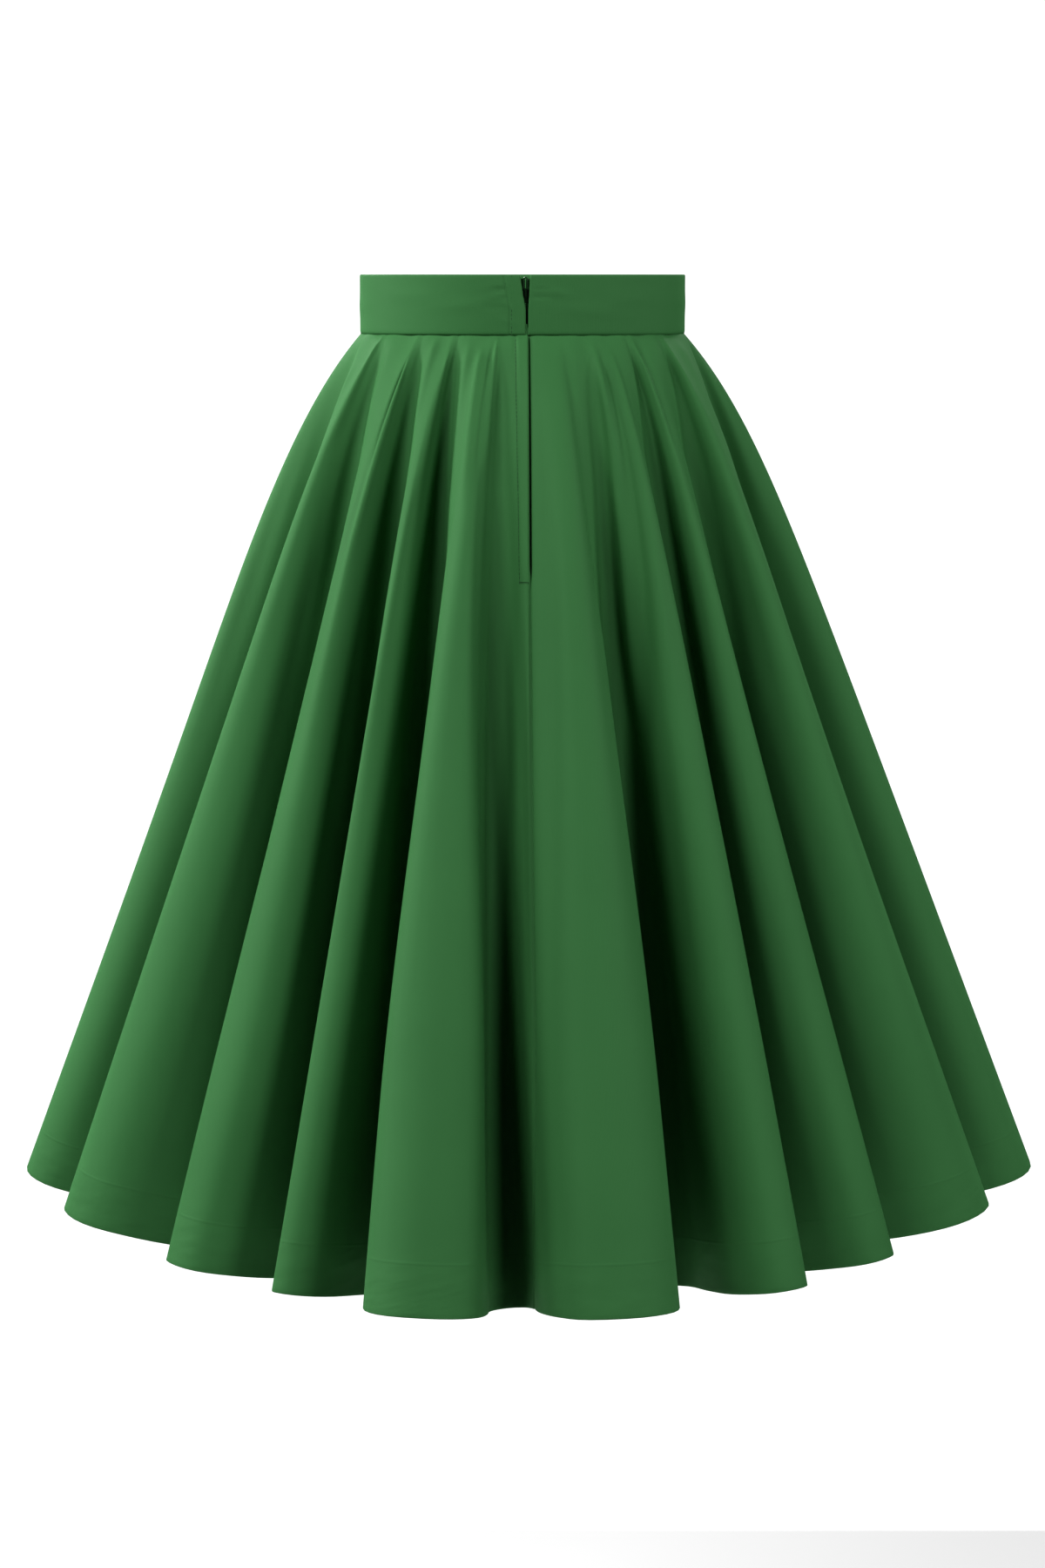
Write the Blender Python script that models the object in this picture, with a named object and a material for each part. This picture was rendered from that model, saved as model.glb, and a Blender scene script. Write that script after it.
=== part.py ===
"""Full circle skirt with a high waistband and a lapped zip down the centre back, filled out.

Metres, +Z up. The origin is the centre of the waistband's top opening. The zip faces -Y, the
front of the skirt faces +Y, and +X is the wearer's right. An azimuth is an angle measured from
the centre back (-Y) towards +X, in degrees in the table of flutes and in radians elsewhere.

The skirt is three panels of a full circle of cloth: two back quarters and a half for the front.
Each hangs in flutes. A level line round the skirt is one closed curve through the crest and the
hollow of every flute, and the flutes grow from nothing at the waist to their full size at the hem.
"""

import math
from collections import namedtuple

import bmesh
import bpy

# Waistband
WAIST_WIDTH = 0.241
WAIST_DEPTH = 0.177
BAND_HEIGHT = 0.0435
BAND_WALL = 0.0022
BAND_COLUMNS = 72

# Skirt
SKIRT_DROP = 0.6415
CLOTH_WALL = 0.0015
SEAM_GAP = 0.0003
FLARE = 0.0265
FLARE_RUN = 0.056
MEAN_REACH = 0.258
HOLLOW_SAG = 0.25
SMOOTH_ROUNDNESS = 0.36
SETTLED_AT = 0.8
SWELL_POWER = 0.96
SWELL_START = 0.03
LEAN_POWER = 1.25
COLUMNS_PER_HALF_FLUTE = 6
SHARP_EDGE = 40
LEVELS = (0.0, 0.03, 0.09, 0.265, 0.45, 0.65, 0.82, 1.0)

# Zip, under the lap at the centre back
CLOSING_X = 0.0035
CLOSING_HEM_X = 0.0078
SHARE_STEPS = 24
NOTCH_LEFT_TOP = -0.0018
NOTCH_LEFT_FOOT = 0.0024
NOTCH_RIGHT_TOP = 0.0055
NOTCH_RIGHT_FOOT = 0.0040
NOTCH_HEIGHT = 0.025
ZIP_OFFSET = -0.0013
ZIP_X = CLOSING_X + ZIP_OFFSET
ZIP_LEVELS = LEVELS[:4]
TAPE_TOP = -0.003
TAPE_INNER_EDGE = 0.0034
TAPE_OUTER_EDGE = 0.0130
TAPE_WALL = 0.0007
TAPE_COLUMNS = 5
BAND_REACH = 0.017
TAPE_DEPTH = BAND_WALL + 2 * SEAM_GAP
CHAIN_HALF_WIDTH = 0.0024
CHAIN_THICKNESS = 0.0018
CHAIN_TOP = -0.0200

SLIDER_TOP = -0.0105
SLIDER_FOOT = -0.0195
SLIDER_HALF_WIDTH_TOP = 0.0030
SLIDER_HALF_WIDTH_FOOT = 0.0023
SLIDER_THICKNESS = 0.0034
SLIDER_BEVEL = 0.0003
BRIDGE_HALF_WIDTH = 0.0006
BRIDGE_TOP = -0.0098
BRIDGE_FOOT = -0.0158
BRIDGE_BAR = 0.0009
TUNNEL = 0.0015

PULL_WIRE = 0.0004
PULL_HALF_WIDTH = 0.00135
PULL_CORNER = 0.0010
PULL_LENGTH = 0.0088
PULL_PIVOT_Z = -0.0112
PULL_CORNER_STEPS = 4

# One row for each flute, in order of azimuth. Its crest is at the azimuth crest_top at the waist
# and crest_hem at the hem, where it stands out by reach beyond the waist. bulge_in and bulge_out
# say how broad the crest is on the side before it and after it, in half flutes: one or more
# bulges out over the hollow. The hollow that follows it has the same two azimuths, a depth below
# the crests, and floor_in and floor_out, which say how broad its floor is on each side.
Flute = namedtuple(
    "Flute",
    "crest_top crest_hem reach bulge_in bulge_out hollow_top hollow_hem depth floor_in floor_out",
)

BACK_LEFT = (
    Flute(-88.0, -89.7, 0.265, 0.80, 1.40, -77.0, -78.5, 0.138, 0.28, 0.35),
    Flute(-66.0, -75.0, 0.239, 1.00, 1.60, -62.0, -53.8, 0.114, 0.15, 0.28),
    Flute(-48.0, -50.4, 0.217, 1.42, 1.60, -44.5, -37.4, 0.128, 0.21, 0.29),
    Flute(-32.4, -33.0, 0.221, 0.65, 1.25, -28.6, -22.0, 0.118, 0.22, 0.24),
    Flute(-14.5, -12.6, 0.273, 1.75, 1.75, -8.6, 0.0, 0.096, 0.60, 0.38),
)
BACK_RIGHT = (
    Flute(12.2, 11.0, 0.275, 1.55, 1.66, 25.4, 26.8, 0.146, 0.15, 0.30),
    Flute(35.5, 35.5, 0.230, 1.30, 1.20, 45.7, 41.2, 0.114, 0.28, 0.25),
    Flute(49.5, 55.0, 0.217, 1.25, 0.90, 61.5, 58.3, 0.098, 0.29, 0.18),
    Flute(65.2, 76.4, 0.243, 1.80, 0.90, 82.8, 79.8, 0.100, 0.34, 0.24),
    Flute(87.8, 90.6, 0.275, 1.60, 0.80, 93.0, 98.0, 0.135, 0.34, 0.34),
)
FRONT = (
    Flute(103.0, 106.0, 0.262, 0.85, 0.85, 109.5, 112.5, 0.094, 0.45, 0.40),
    Flute(117.0, 121.0, 0.252, 1.05, 1.00, 125.5, 128.0, 0.099, 0.40, 0.45),
    Flute(132.5, 135.5, 0.260, 0.95, 1.05, 141.0, 144.0, 0.090, 0.50, 0.40),
    Flute(150.0, 151.5, 0.248, 1.10, 1.00, 158.5, 160.0, 0.099, 0.35, 0.40),
    Flute(167.0, 168.5, 0.260, 1.00, 1.15, 175.5, 177.0, 0.095, 0.40, 0.45),
    Flute(184.0, 185.5, 0.256, 1.15, 1.00, 193.0, 194.0, 0.099, 0.40, 0.35),
    Flute(201.0, 201.5, 0.248, 0.95, 1.05, 209.0, 209.5, 0.088, 0.50, 0.45),
    Flute(217.5, 217.0, 0.258, 1.10, 1.00, 226.0, 225.0, 0.099, 0.35, 0.40),
    Flute(235.0, 232.0, 0.254, 1.00, 1.05, 243.5, 239.5, 0.092, 0.45, 0.40),
    Flute(252.0, 247.5, 0.262, 0.90, 0.80, 266.5, 262.0, 0.095, 0.45, 0.45),
)
FLUTES = BACK_LEFT + BACK_RIGHT + FRONT

# Half flutes are numbered from the first crest. The last one of each panel follows.
CLOSING_HALF = 2 * len(BACK_LEFT) - 1
SIDE_HALF = CLOSING_HALF + 2 * len(BACK_RIGHT)
LAST_HALF = 2 * len(FLUTES) - 1
LEFT_HALVES = (-1, CLOSING_HALF)
RIGHT_HALVES = (CLOSING_HALF, SIDE_HALF - 1)
FRONT_HALVES = (SIDE_HALF, LAST_HALF - 1)

CLOTH_GREEN = (0.055, 0.205, 0.075)
TAPE_GREEN = (0.045, 0.170, 0.062)
METAL_GREEN = (0.070, 0.160, 0.080)


def polar(turn, radius):
    """The plan point at an azimuth in radians."""
    return radius * math.sin(turn), -radius * math.cos(turn)


def waist_radius(turn):
    """The outer radius of the waist's ellipse at an azimuth in radians."""
    a = WAIST_WIDTH / 2
    b = WAIST_DEPTH / 2
    return a * b / math.hypot(b * math.sin(turn), a * math.cos(turn))


def spread(level):
    """How much of its reach a crest has at a level: a quick flare, then a straight slope."""
    drop = level * SKIRT_DROP
    slope = (MEAN_REACH - FLARE) / SKIRT_DROP
    return (slope * drop + FLARE * (1 - math.exp(-drop / FLARE_RUN))) / MEAN_REACH


def swell(level):
    """How much of its depth a hollow has at a level."""
    return level**SWELL_POWER * (1 - math.exp(-level / SWELL_START))


def settle(level):
    """How much of its full roundness a flute has at a level."""
    share = min(1.0, level / SETTLED_AT)
    return share * share * (3 - 2 * share)


def anchor(level, top, hem, reach, depth, before, after):
    """(turn, radius, roundness before, roundness after) of one crest or hollow at a level."""
    turn = math.radians(top + (hem - top) * level**LEAN_POWER)
    radius = waist_radius(turn) + reach * spread(level) - depth * swell(level)
    return turn, radius, before, after


def anchors(level):
    """Every crest and hollow at a level, in order of azimuth."""
    found = []
    for f in FLUTES:
        found.append(anchor(level, f.crest_top, f.crest_hem, f.reach, 0.0, f.bulge_in, f.bulge_out))
        found.append(
            anchor(level, f.hollow_top, f.hollow_hem, f.reach, f.depth, f.floor_in, f.floor_out)
        )
    return found


def handles(start, end, level):
    """How far the line runs square to the radius as it leaves an anchor and as it meets the next.

    A plain wave's handles follow the gap between the anchors. A settled flute's follow its roundness.
    """
    gap = math.remainder(end[0] - start[0], 2 * math.pi)
    radius = (start[1] + end[1]) / 2
    settled = settle(level)
    plain = SMOOTH_ROUNDNESS * gap * (1 - settled)
    half_flute = math.pi / len(FLUTES)
    leaving = radius * (plain + start[3] * half_flute * settled)
    meeting = radius * (plain + end[2] * half_flute * settled)
    return leaving, meeting


def between(start, end, level, share):
    """The plan point at a share of the way between two anchors, on a cubic curve."""
    leaving, meeting = handles(start, end, level)
    x0, y0 = polar(start[0], start[1])
    x3, y3 = polar(end[0], end[1])
    x1 = x0 + math.cos(start[0]) * leaving
    y1 = y0 + math.sin(start[0]) * leaving
    x2 = x3 - math.cos(end[0]) * meeting
    y2 = y3 - math.sin(end[0]) * meeting
    rest = 1 - share
    weights = (rest**3, 3 * rest**2 * share, 3 * rest * share**2, share**3)
    x = sum(w * v for w, v in zip(weights, (x0, x1, x2, x3)))
    y = sum(w * v for w, v in zip(weights, (y0, y1, y2, y3)))
    return x, y


def hang(x, y, level):
    """A plan point with its height: the hollows run steeper than the crests, so they hang lower."""
    below_crests = waist_radius(math.atan2(x, -y)) + MEAN_REACH * spread(level) - math.hypot(x, y)
    z = -BAND_HEIGHT - SEAM_GAP - SKIRT_DROP * level - HOLLOW_SAG * below_crests * level
    return x, y, z


def closing_share(start, end, level):
    """How far along its half flute the seam down the centre back lies."""
    seam_x = CLOSING_X + (CLOSING_HEM_X - CLOSING_X) * level
    low = 0.0
    high = 1.0
    for _ in range(SHARE_STEPS):
        middle = (low + high) / 2
        if between(start, end, level, middle)[0] < seam_x:
            low = middle
        else:
            high = middle
    return low


def towards(point, other, distance):
    """A plan point moved a distance towards another one."""
    run = math.dist(point, other)
    return tuple(p + (o - p) * distance / run for p, o in zip(point, other))


def panel_line(level, first, last):
    """The level line of a panel, through its half flutes from the first to the last.

    Half flute 0 leaves the first crest. The centre back's seam cuts CLOSING_HALF in two.
    """
    around = anchors(level)
    line = []
    for half in range(first, last + 1):
        start = around[half % len(around)]
        end = around[(half + 1) % len(around)]
        low = closing_share(start, end, level) if half == first == CLOSING_HALF else 0.0
        high = closing_share(start, end, level) if half == last == CLOSING_HALF else 1.0
        for step in range(COLUMNS_PER_HALF_FLUTE):
            share = low + (high - low) * step / COLUMNS_PER_HALF_FLUTE
            line.append(between(start, end, level, share))
    line.append(between(start, end, level, high))
    line[0] = towards(line[0], line[1], SEAM_GAP / 2)
    line[-1] = towards(line[-1], line[-2], SEAM_GAP / 2)
    return [hang(x, y, level) for x, y in line]


def plain_material(name, color, roughness, metallic=0.0):
    material = bpy.data.materials.new(name)
    material.use_nodes = True
    shader = material.node_tree.nodes["Principled BSDF"]
    shader.inputs["Base Color"].default_value = (*color, 1.0)
    shader.inputs["Roughness"].default_value = roughness
    shader.inputs["Metallic"].default_value = metallic
    material.diffuse_color = (*color, 1.0)
    return material


def mesh_object(name, points, faces, material):
    mesh = bpy.data.meshes.new(name)
    mesh.from_pydata(points, [], faces)
    mesh.materials.append(material)
    mesh.shade_smooth()
    mesh.set_sharp_from_angle(angle=math.radians(SHARP_EDGE))
    made = bpy.data.objects.new(name, mesh)
    bpy.context.scene.collection.objects.link(made)
    return made


def sheet_faces(rows, columns):
    """Quads of a grid whose rows run down and whose columns run towards +X seen from the back."""
    faces = []
    for row in range(rows - 1):
        for column in range(columns - 1):
            corner = row * columns + column
            faces.append((corner, corner + columns, corner + columns + 1, corner + 1))
    return faces


def thicken(made, wall):
    """Turns an outer face into a wall that grows inwards."""
    solidify = made.modifiers.new("wall", "SOLIDIFY")
    solidify.thickness = wall
    solidify.offset = -1.0
    solidify.use_even_offset = True
    solidify.thickness_clamp = 0.0


def cloth_wall(name, lines, wall, material):
    points = [point for line in lines for point in line]
    made = mesh_object(name, points, sheet_faces(len(lines), len(lines[0])), material)
    thicken(made, wall)
    return made


def build_panel(name, halves, material):
    lines = [panel_line(level, *halves) for level in LEVELS]
    return cloth_wall(name, lines, CLOTH_WALL, material)


def notch_edge(z, top, foot):
    """The x of a band end at a height. The notch between the two ends narrows downwards."""
    return top + (foot - top) * min(1.0, -z / NOTCH_HEIGHT)


def turn_at(x):
    """The azimuth, near the centre back, of the waist's point at an x."""
    return math.atan2(x, WAIST_DEPTH / 2)


def build_waistband(material):
    """One strip, from the right end of the closing, round the front, to its left end."""
    lines = []
    for z in (0.0, -NOTCH_HEIGHT, -BAND_HEIGHT):
        start = turn_at(notch_edge(z, NOTCH_RIGHT_TOP, NOTCH_RIGHT_FOOT))
        end = 2 * math.pi + turn_at(notch_edge(z, NOTCH_LEFT_TOP, NOTCH_LEFT_FOOT))
        line = []
        for column in range(BAND_COLUMNS + 1):
            turn = start + (end - start) * column / BAND_COLUMNS
            line.append((*polar(turn, waist_radius(turn)), z))
        lines.append(line)
    return cloth_wall("waistband", lines, BAND_WALL, material)


def band_line(z, side):
    """The outer line of the waistband at a height, leaving the closing towards one side."""
    line = []
    for column in range(COLUMNS_PER_HALF_FLUTE + 1):
        turn = turn_at(CLOSING_X + side * BAND_REACH * column / COLUMNS_PER_HALF_FLUTE)
        line.append((*polar(turn, waist_radius(turn)), z))
    return line


def closing_lines(top, side):
    """The cloth's lines beside the closing, from a height in the band down to the zip's foot."""
    lines = [band_line(z, side) for z in (top, -BAND_HEIGHT)]
    for level in ZIP_LEVELS:
        if side > 0:
            line = panel_line(level, *RIGHT_HALVES)
        else:
            line = panel_line(level, *LEFT_HALVES)[::-1]
        lines.append(line[: COLUMNS_PER_HALF_FLUTE + 1])
    return lines


def inside_point(line, distance, depth, side):
    """The point a distance along a line from the closing, moved a depth inwards, square to the line."""
    gone = 0.0
    for (x0, y0, z0), (x1, y1, z1) in zip(line, line[1:]):
        run = math.hypot(x1 - x0, y1 - y0)
        if gone + run >= distance:
            share = (distance - gone) / run
            x = x0 + (x1 - x0) * share - side * (y1 - y0) / run * depth
            y = y0 + (y1 - y0) * share + side * (x1 - x0) / run * depth
            return x, y, z0 + (z1 - z0) * share
        gone += run
    raise ValueError("the tape is wider than its half flute")


def build_tape(name, side, material):
    """A woven strip on the inner face of the cloth, made from the cloth's own lines."""
    lines = []
    for cloth in closing_lines(TAPE_TOP, side):
        line = []
        for column in range(TAPE_COLUMNS):
            share = column / (TAPE_COLUMNS - 1)
            distance = TAPE_INNER_EDGE + (TAPE_OUTER_EDGE - TAPE_INNER_EDGE) * share
            distance += side * ZIP_OFFSET
            line.append(inside_point(cloth, distance, TAPE_DEPTH, side))
        lines.append(line if side > 0 else line[::-1])
    return cloth_wall(name, lines, TAPE_WALL, material)


def prism(name, sections, material):
    """A closed solid through sections of equal length, each a ring of points, with flat ends."""
    shape = bmesh.new()
    rings = [[shape.verts.new(point) for point in section] for section in sections]
    size = len(rings[0])
    shape.faces.new(rings[0])
    shape.faces.new(rings[-1][::-1])
    for upper, lower in zip(rings, rings[1:]):
        for place in range(size):
            after = (place + 1) % size
            shape.faces.new((upper[place], lower[place], lower[after], upper[after]))
    bmesh.ops.recalc_face_normals(shape, faces=shape.faces)
    mesh = bpy.data.meshes.new(name)
    shape.to_mesh(mesh)
    shape.free()
    mesh.materials.append(material)
    made = bpy.data.objects.new(name, mesh)
    bpy.context.scene.collection.objects.link(made)
    return made


def build_chain(material):
    """The closed coil, which runs behind the opening down the middle of the tapes."""
    sections = []
    for left_line, right_line in zip(closing_lines(CHAIN_TOP, -1), closing_lines(CHAIN_TOP, 1)):
        left = CHAIN_HALF_WIDTH - ZIP_OFFSET
        right = CHAIN_HALF_WIDTH + ZIP_OFFSET
        sections.append([
            inside_point(left_line, left, TAPE_DEPTH, -1),
            inside_point(right_line, right, TAPE_DEPTH, 1),
            inside_point(right_line, right, TAPE_DEPTH + CHAIN_THICKNESS, 1),
            inside_point(left_line, left, TAPE_DEPTH + CHAIN_THICKNESS, -1),
        ])
    return prism("zip_chain", sections, material)


def band_inside():
    """The y of the waistband's inner face at the closing."""
    return -WAIST_DEPTH / 2 + BAND_WALL


def build_bridge(material):
    """The staple on the slider's face. The pull's crossbar lies in its tunnel."""
    face = band_inside() + 2 * SEAM_GAP
    outer = band_inside() - TUNNEL - BRIDGE_BAR
    inner = outer + BRIDGE_BAR
    tunnel_top = BRIDGE_TOP - BRIDGE_BAR
    tunnel_foot = BRIDGE_FOOT + BRIDGE_BAR
    outline = [
        (face, BRIDGE_TOP),
        (outer, BRIDGE_TOP),
        (outer, BRIDGE_FOOT),
        (face, BRIDGE_FOOT),
        (face, tunnel_foot),
        (inner, tunnel_foot),
        (inner, tunnel_top),
        (face, tunnel_top),
    ]
    left = ZIP_X - BRIDGE_HALF_WIDTH
    right = ZIP_X + BRIDGE_HALF_WIDTH
    sections = [[(x, y, z) for y, z in outline] for x in (left, right)]
    return prism("bridge", sections, material)


def build_slider(material):
    """A tapered body behind the notch, wider at the top, with the bridge standing out of it."""
    front = band_inside() + SEAM_GAP
    back = front + SLIDER_THICKNESS
    sections = []
    for z, half in ((SLIDER_TOP, SLIDER_HALF_WIDTH_TOP), (SLIDER_FOOT, SLIDER_HALF_WIDTH_FOOT)):
        left = ZIP_X - half
        right = ZIP_X + half
        sections.append([(left, front, z), (right, front, z), (right, back, z), (left, back, z)])
    slider = prism("zip_slider", sections, material)
    bevel = slider.modifiers.new("soft edges", "BEVEL")
    bevel.width = SLIDER_BEVEL
    bevel.segments = 2
    bridge = build_bridge(material)
    bridge.hide_render = True
    bridge.display_type = "WIRE"
    union = slider.modifiers.new("bridge", "BOOLEAN")
    union.operation = "UNION"
    union.object = bridge
    union.solver = "EXACT"
    return slider


def build_pull(material):
    """A bent wire loop, turning on its own crossbar in the bridge's tunnel."""
    pivot_y = band_inside() - TUNNEL / 2
    curve = bpy.data.curves.new("zip_pull", "CURVE")
    curve.dimensions = "3D"
    curve.bevel_depth = PULL_WIRE
    curve.bevel_resolution = 2
    radius = PULL_CORNER
    flat = PULL_HALF_WIDTH - radius
    path = []
    for centre_x, centre_z, first in (
        (flat, radius, -90),
        (flat, PULL_LENGTH - radius, 0),
        (-flat, PULL_LENGTH - radius, 90),
        (-flat, radius, 180),
    ):
        for step in range(PULL_CORNER_STEPS + 1):
            turn = math.radians(first + 90 * step / PULL_CORNER_STEPS)
            path.append((centre_x + radius * math.cos(turn), centre_z + radius * math.sin(turn)))
    spline = curve.splines.new("POLY")
    spline.points.add(len(path) - 1)
    for point, (x, z) in zip(spline.points, path):
        point.co = (x, 0.0, z, 1.0)
    spline.use_cyclic_u = True
    curve.materials.append(material)
    pull = bpy.data.objects.new("zip_pull", curve)
    bpy.context.scene.collection.objects.link(pull)
    pull.location = (ZIP_X, pivot_y, PULL_PIVOT_Z)
    return pull


def clear_scene():
    for old in list(bpy.data.objects):
        bpy.data.objects.remove(old, do_unlink=True)


def build():
    clear_scene()
    cloth = plain_material("cloth", CLOTH_GREEN, 0.75)
    tape = plain_material("zip tape", TAPE_GREEN, 0.85)
    coil = plain_material("zip coil", TAPE_GREEN, 0.45)
    metal = plain_material("lacquered metal", METAL_GREEN, 0.35, 0.6)

    build_panel("skirt_back_left", LEFT_HALVES, cloth)
    build_panel("skirt_back_right", RIGHT_HALVES, cloth)
    build_panel("skirt_front", FRONT_HALVES, cloth)
    build_waistband(cloth)
    build_tape("zip_tape_left", -1, tape)
    build_tape("zip_tape_right", 1, tape)
    build_chain(coil)
    build_slider(metal)
    build_pull(metal)


build()
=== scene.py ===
# %% [markdown]
# # A full circle skirt, seen from behind
#
# The part is a cotton sateen circle skirt: two panels at the back and one at the front, each cut as
# part of a ring, a straight high waistband, and a lapped zip down the centre back. It is filled out
# as if it were worn, and it is empty inside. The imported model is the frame: it says where each piece
# is. This file gives each piece its real surface, without moving or resizing anything in that frame.
#
# The first cell loads the frame and keeps the box that the model fills.

# %% Load the frame
import math
from collections import namedtuple

import bpy
import numpy as np
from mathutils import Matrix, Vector


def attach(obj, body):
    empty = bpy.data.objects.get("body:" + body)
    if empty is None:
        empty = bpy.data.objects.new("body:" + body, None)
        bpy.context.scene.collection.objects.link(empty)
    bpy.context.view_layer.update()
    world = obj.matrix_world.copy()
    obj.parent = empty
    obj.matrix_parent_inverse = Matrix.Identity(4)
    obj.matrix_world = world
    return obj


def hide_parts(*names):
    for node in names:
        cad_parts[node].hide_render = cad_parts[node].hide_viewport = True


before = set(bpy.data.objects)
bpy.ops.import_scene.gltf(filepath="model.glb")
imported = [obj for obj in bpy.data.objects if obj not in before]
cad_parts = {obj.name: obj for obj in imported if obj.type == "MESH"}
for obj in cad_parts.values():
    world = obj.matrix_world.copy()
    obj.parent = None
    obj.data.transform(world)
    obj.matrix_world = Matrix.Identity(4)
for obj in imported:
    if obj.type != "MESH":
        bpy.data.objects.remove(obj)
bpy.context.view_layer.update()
print("nodes:", sorted(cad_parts))

# %% [markdown]
# ## The camera
#
# The camera stands 2.3 m behind the wearer's back, level with the top of the band and tipped 9.5
# degrees down, and it has a short telephoto lens. A camera can be aimed with a Track To constraint
# or by its rotation. One rotation about X is enough here, and the number says how far it is tipped.

# %% Camera
CAMERA_DISTANCE = 2.287
CAMERA_TIP = math.radians(9.5)
LENS = 69.92
SENSOR = 36.0


def add_camera():
    """The scene's camera, turned about X only."""
    data = bpy.data.cameras.new("camera")
    data.lens = LENS
    data.sensor_width = SENSOR
    made = bpy.data.objects.new("camera", data)
    made.location = (0.0, -CAMERA_DISTANCE, 0.0)
    made.rotation_euler = (math.pi / 2 - CAMERA_TIP, 0.0, 0.0)
    bpy.context.scene.collection.objects.link(made)
    bpy.context.scene.camera = made
    return made


camera = add_camera()
print("camera at", tuple(camera.location))

# %% [markdown]
# ## How a circle skirt hangs
#
# A circle skirt has no gathers: its waist fits the band, and the spare cloth at the hem has to go
# somewhere, so it drops into flutes that start from nothing at the waist. Cloth simulation makes
# such flutes, but not these flutes. So the form is a rule with a short table: a row for each
# flute, with where its crest and its hollow are at the waist and at the hem, how far it stands
# out, how deep its hollow is, and how round each is on both sides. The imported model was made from
# the same rule and table, and here they are worked out much finer.

# %% The table of flutes
# Sizes are in metres, and a level runs from 0 at the waist to 1 at the hem.
WAIST_WIDTH = 0.241
WAIST_DEPTH = 0.177
BAND_HEIGHT = 0.0435
SKIRT_DROP = 0.6415
SEAM_GAP = 0.0003
FLARE = 0.0265
FLARE_RUN = 0.056
MEAN_REACH = 0.258
HOLLOW_SAG = 0.25
SMOOTH_ROUNDNESS = 0.36
SETTLED_AT = 0.8
SWELL_POWER = 0.96
SWELL_START = 0.03
LEAN_POWER = 1.25
CLOSING_X = 0.0035
CLOSING_HEM_X = 0.0078
SHARE_STEPS = 24

# Azimuths are in degrees from the centre back towards +X.
Flute = namedtuple(
    "Flute",
    "crest_top crest_hem reach bulge_in bulge_out hollow_top hollow_hem depth floor_in floor_out",
)
BACK_LEFT = (
    Flute(-88.0, -89.7, 0.265, 0.80, 1.40, -77.0, -78.5, 0.138, 0.28, 0.35),
    Flute(-66.0, -75.0, 0.239, 1.00, 1.60, -62.0, -53.8, 0.114, 0.15, 0.28),
    Flute(-48.0, -50.4, 0.217, 1.42, 1.60, -44.5, -37.4, 0.128, 0.21, 0.29),
    Flute(-32.4, -33.0, 0.221, 0.65, 1.25, -28.6, -22.0, 0.118, 0.22, 0.24),
    Flute(-14.5, -12.6, 0.273, 1.75, 1.75, -8.6, 0.0, 0.096, 0.60, 0.38),
)
BACK_RIGHT = (
    Flute(12.2, 11.0, 0.275, 1.55, 1.66, 25.4, 26.8, 0.146, 0.15, 0.30),
    Flute(35.5, 35.5, 0.230, 1.30, 1.20, 45.7, 41.2, 0.114, 0.28, 0.25),
    Flute(49.5, 55.0, 0.217, 1.25, 0.90, 61.5, 58.3, 0.098, 0.29, 0.18),
    Flute(65.2, 76.4, 0.243, 1.80, 0.90, 82.8, 79.8, 0.100, 0.34, 0.24),
    Flute(87.8, 90.6, 0.275, 1.60, 0.80, 93.0, 98.0, 0.135, 0.34, 0.34),
)
FRONT = (
    Flute(103.0, 106.0, 0.262, 0.85, 0.85, 109.5, 112.5, 0.094, 0.45, 0.40),
    Flute(117.0, 121.0, 0.252, 1.05, 1.00, 125.5, 128.0, 0.099, 0.40, 0.45),
    Flute(132.5, 135.5, 0.260, 0.95, 1.05, 141.0, 144.0, 0.090, 0.50, 0.40),
    Flute(150.0, 151.5, 0.248, 1.10, 1.00, 158.5, 160.0, 0.099, 0.35, 0.40),
    Flute(167.0, 168.5, 0.260, 1.00, 1.15, 175.5, 177.0, 0.095, 0.40, 0.45),
    Flute(184.0, 185.5, 0.256, 1.15, 1.00, 193.0, 194.0, 0.099, 0.40, 0.35),
    Flute(201.0, 201.5, 0.248, 0.95, 1.05, 209.0, 209.5, 0.088, 0.50, 0.45),
    Flute(217.5, 217.0, 0.258, 1.10, 1.00, 226.0, 225.0, 0.099, 0.35, 0.40),
    Flute(235.0, 232.0, 0.254, 1.00, 1.05, 243.5, 239.5, 0.092, 0.45, 0.40),
    Flute(252.0, 247.5, 0.262, 0.90, 0.80, 266.5, 262.0, 0.095, 0.45, 0.45),
)
FLUTES = BACK_LEFT + BACK_RIGHT + FRONT
print(len(FLUTES), "flutes")

# %% [markdown]
# The rule works on whole columns of levels at once. numpy does in one line what a loop over every
# point would do, so the fine cloth costs a fraction of a second. Each anchor is a crest or a hollow
# at every level, and a cubic curve joins each one to the next, square to the radius at both ends.

# %% The rule of the form


def polar(turn, radius):
    """The plan point at an azimuth in radians."""
    return radius * np.sin(turn), -radius * np.cos(turn)


def waist_radius(turn):
    """The outer radius of the waist's ellipse at an azimuth in radians."""
    a = WAIST_WIDTH / 2
    b = WAIST_DEPTH / 2
    return a * b / np.hypot(b * np.sin(turn), a * np.cos(turn))


def spread(level):
    """How much of its reach a crest has at a level, from 0 at the waist to 1 at the hem."""
    drop = level * SKIRT_DROP
    slope = (MEAN_REACH - FLARE) / SKIRT_DROP
    return (slope * drop + FLARE * (1 - np.exp(-drop / FLARE_RUN))) / MEAN_REACH


def swell(level):
    """How much of its depth a hollow has at a level."""
    return level**SWELL_POWER * (1 - np.exp(-level / SWELL_START))


def settle(level):
    """How much of its full roundness a flute has at a level."""
    share = np.minimum(1.0, level / SETTLED_AT)
    return share * share * (3 - 2 * share)


def anchor(level, top, hem, reach, depth):
    """(turn, radius) of one crest or hollow at every level."""
    turn = np.radians(top + (hem - top) * level**LEAN_POWER)
    return turn, waist_radius(turn) + reach * spread(level) - depth * swell(level)


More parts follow.
